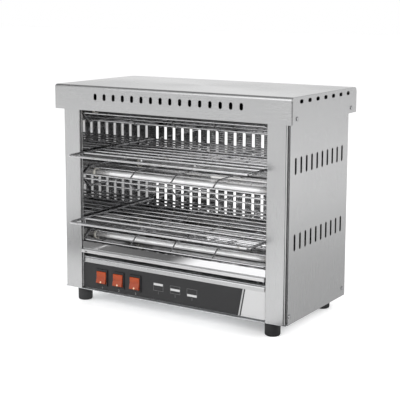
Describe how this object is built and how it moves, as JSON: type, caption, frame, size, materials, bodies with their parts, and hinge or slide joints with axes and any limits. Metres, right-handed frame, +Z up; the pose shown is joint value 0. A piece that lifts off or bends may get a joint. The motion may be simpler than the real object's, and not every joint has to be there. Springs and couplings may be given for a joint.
{
  "type": "quartz toaster",
  "caption": "Free-standing stainless quartz toaster with stacked heating tubes behind wire guards, pull-out wire racks, a crumb tray and lit rocker switches.",
  "frame": {"origin": "bottom centre of the whole object's box, on the surface it stands on, rack handles included", "axes": "+X to the right seen from the front, +Y to the back, +Z up; the open front faces -Y"},
  "size_m": [0.5036, 0.292, 0.415],
  "materials": {
    "satin_steel": "satin",
    "bright_steel": "polished",
    "zinc_sheet": "matte",
    "bright_wire": "polished",
    "zinc_screw": "satin",
    "milky_quartz": "satin",
    "white_insulator": "matte",
    "resistance_wire": "oxidised",
    "insulated_lead": "matte",
    "black_plastic": "satin",
    "orange_lens": "gloss",
    "black_label": "satin",
    "black_rubber": "matte",
    "brass_metal": "satin"
  },
  "bodies": {
    "housing": {"base_pan": "zinc_sheet", "bottom_front_tube": "milky_quartz", "bottom_guard": "bright_wire", "bottom_rear_tube": "milky_quartz", "cable_gland": "black_plastic", "compartment_deck": "zinc_sheet", "control_label": "black_label", "control_panel": "satin_steel", "cover_screws": "zinc_screw", "cover_spacers": "zinc_screw", "earth_stud": "brass_metal", "element_pins": "resistance_wire", "foot_screws": "zinc_screw", "front_header": "satin_steel", "front_left_foot": "black_rubber", "front_right_foot": "black_rubber", "gland_nut": "black_plastic", "heating_coils": "resistance_wire", "left_element_leads": "insulated_lead", "left_front_post": "satin_steel", "left_inner_wall": "bright_steel", "left_rack_runners": "bright_steel", "left_side_panel": "satin_steel", "middle_front_tube": "milky_quartz", "middle_lower_guard": "bright_wire", "middle_rear_tube": "milky_quartz", "middle_upper_guard": "bright_wire", "rear_left_foot": "black_rubber", "rear_panel": "bright_steel", "rear_panel_screws": "zinc_screw", "rear_right_foot": "black_rubber", "right_element_leads": "insulated_lead", "right_front_post": "satin_steel", "right_inner_wall": "bright_steel", "right_rack_runners": "bright_steel", "right_side_panel": "satin_steel", "side_panel_screws": "zinc_screw", "switch_housing_1": "black_plastic", "switch_housing_2": "black_plastic", "switch_housing_3": "black_plastic", "switch_leads": "insulated_lead", "switch_terminals": "brass_metal", "terminal_block": "white_insulator", "terminal_screws": "zinc_screw", "top_cover": "satin_steel", "top_front_tube": "milky_quartz", "top_guard": "bright_wire", "top_rear_tube": "milky_quartz", "top_reflector": "bright_steel", "tray_runners": "bright_steel", "tube_bushes": "white_insulator", "tube_end_caps": "white_insulator"},
    "upper_rack_body": {"upper_rack": "bright_wire"},
    "lower_rack_body": {"lower_rack": "bright_wire"},
    "crumb_tray_body": {"crumb_tray": "bright_steel"},
    "switch_rocker_1_body": {"switch_rocker_1": "orange_lens"},
    "switch_rocker_2_body": {"switch_rocker_2": "orange_lens"},
    "switch_rocker_3_body": {"switch_rocker_3": "orange_lens"}
  },
  "joints": [
    {"name": "upper_rack_slide", "type": "slide", "parent": "housing", "child": "upper_rack_body", "axis": [0, -1, 0], "range_m": [0, 0.19]},
    {"name": "lower_rack_slide", "type": "slide", "parent": "housing", "child": "lower_rack_body", "axis": [0, -1, 0], "range_m": [0, 0.19]},
    {"name": "crumb_tray_slide", "type": "slide", "parent": "housing", "child": "crumb_tray_body", "axis": [0, -1, 0], "range_m": [0, 0.19]},
    {"name": "switch_1_rocker", "type": "hinge", "parent": "housing", "child": "switch_rocker_1_body", "pos_m": [-0.1532, -0.0951, 0.052], "axis": [1, 0, 0], "range_deg": [0, 14]},
    {"name": "switch_2_rocker", "type": "hinge", "parent": "housing", "child": "switch_rocker_2_body", "pos_m": [-0.1146, -0.0951, 0.052], "axis": [1, 0, 0], "range_deg": [0, 14]},
    {"name": "switch_3_rocker", "type": "hinge", "parent": "housing", "child": "switch_rocker_3_body", "pos_m": [-0.076, -0.0951, 0.052], "axis": [1, 0, 0], "range_deg": [0, 14]}
  ]
}
